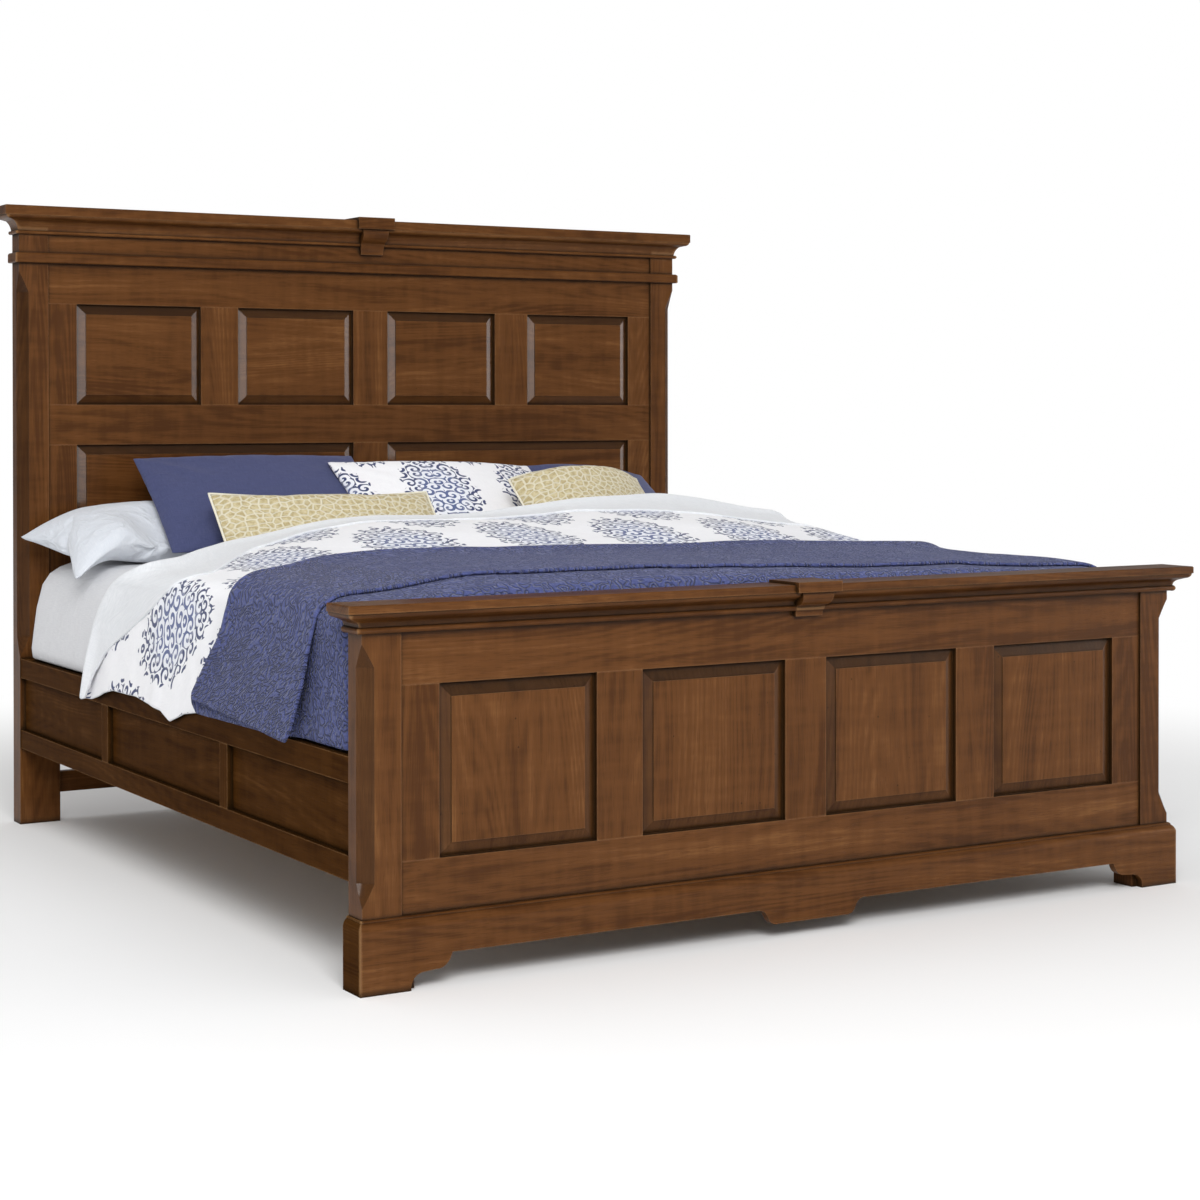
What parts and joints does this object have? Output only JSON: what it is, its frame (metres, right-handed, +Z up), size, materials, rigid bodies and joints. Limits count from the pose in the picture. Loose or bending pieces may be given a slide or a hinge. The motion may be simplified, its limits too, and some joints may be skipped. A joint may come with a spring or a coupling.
{
  "type": "panel bed",
  "caption": "Panel bed with a tall panelled headboard, a low panelled footboard, hooked side rails, a slatted base and lift-off bedding.",
  "frame": {"origin": "on the floor, under the middle of the bed", "axes": "+Z up, +Y from the footboard towards the headboard, +X to the right as seen from the foot"},
  "size_m": [2.145, 2.238, 1.65],
  "materials": {
    "walnut_brown": "satin lacquered hardwood, dark glaze in the recesses",
    "base_pine": "planed, unfinished softwood",
    "zinc_steel": "zinc plated",
    "leveller_black": "moulded pad on a black stud",
    "sheet_white": "smooth woven cotton",
    "duvet_print": "white cotton with navy medallions",
    "quilt_navy": "stitched cotton quilt",
    "pillow_blue_white": "smooth woven cotton",
    "sham_navy": "woven cotton",
    "sham_print": "white cotton with navy medallions",
    "cushion_gold": "woven fabric with a cream and gold pattern"
  },
  "bodies": {
    "frame": {"beam_hangers": "zinc_steel", "centre_beam": "base_pine", "centre_legs": "base_pine", "footboard_bottom_rail": "walnut_brown", "footboard_cap": "walnut_brown", "footboard_crown_moulding": "walnut_brown", "footboard_keystone": "walnut_brown", "footboard_left_post": "walnut_brown", "footboard_left_stile": "walnut_brown", "footboard_muntins": "walnut_brown", "footboard_panel_1": "walnut_brown", "footboard_panel_2": "walnut_brown", "footboard_panel_3": "walnut_brown", "footboard_panel_4": "walnut_brown", "footboard_plinth": "walnut_brown", "footboard_plinth_returns": "walnut_brown", "footboard_right_post": "walnut_brown", "footboard_right_stile": "walnut_brown", "footboard_top_rail": "walnut_brown", "headboard_bead": "walnut_brown", "headboard_bottom_rail": "walnut_brown", "headboard_cap": "walnut_brown", "headboard_crown_moulding": "walnut_brown", "headboard_frieze": "walnut_brown", "headboard_keystone": "walnut_brown", "headboard_left_post": "walnut_brown", "headboard_left_stile": "walnut_brown", "headboard_lower_muntin": "walnut_brown", "headboard_lower_panel_left": "walnut_brown", "headboard_lower_panel_right": "walnut_brown", "headboard_middle_rail": "walnut_brown", "headboard_right_post": "walnut_brown", "headboard_right_stile": "walnut_brown", "headboard_stretcher": "walnut_brown", "headboard_top_rail": "walnut_brown", "headboard_upper_muntins": "walnut_brown", "headboard_upper_panel_1": "walnut_brown", "headboard_upper_panel_2": "walnut_brown", "headboard_upper_panel_3": "walnut_brown", "headboard_upper_panel_4": "walnut_brown", "left_rail_board": "walnut_brown", "post_hook_plates": "zinc_steel", "rail_bottom_strips": "walnut_brown", "rail_dividers": "walnut_brown", "rail_hook_plates": "zinc_steel", "rail_ledgers": "base_pine", "rail_top_strips": "walnut_brown", "right_rail_board": "walnut_brown", "slat_screws": "zinc_steel", "slats": "base_pine"},
    "bedding": {"mattress": "sheet_white", "duvet": "duvet_print", "quilt": "quilt_navy", "sleeping_pillows": "pillow_blue_white", "shams": "sham_navy", "centre_sham": "sham_print", "lumbar_cushions": "cushion_gold"},
    "front_leveller": {"front_leveller": "leveller_black"},
    "rear_leveller": {"rear_leveller": "leveller_black"}
  },
  "joints": [
    {"name": "bedding_lift", "type": "slide", "parent": "frame", "child": "bedding", "axis": [0, 0, 1], "range_m": [0, 0.4]},
    {"name": "front_leveller_screw", "type": "slide", "parent": "frame", "child": "front_leveller", "axis": [0, 0, -1], "range_m": [0, 0.012]},
    {"name": "rear_leveller_screw", "type": "slide", "parent": "frame", "child": "rear_leveller", "axis": [0, 0, -1], "range_m": [0, 0.012]}
  ]
}
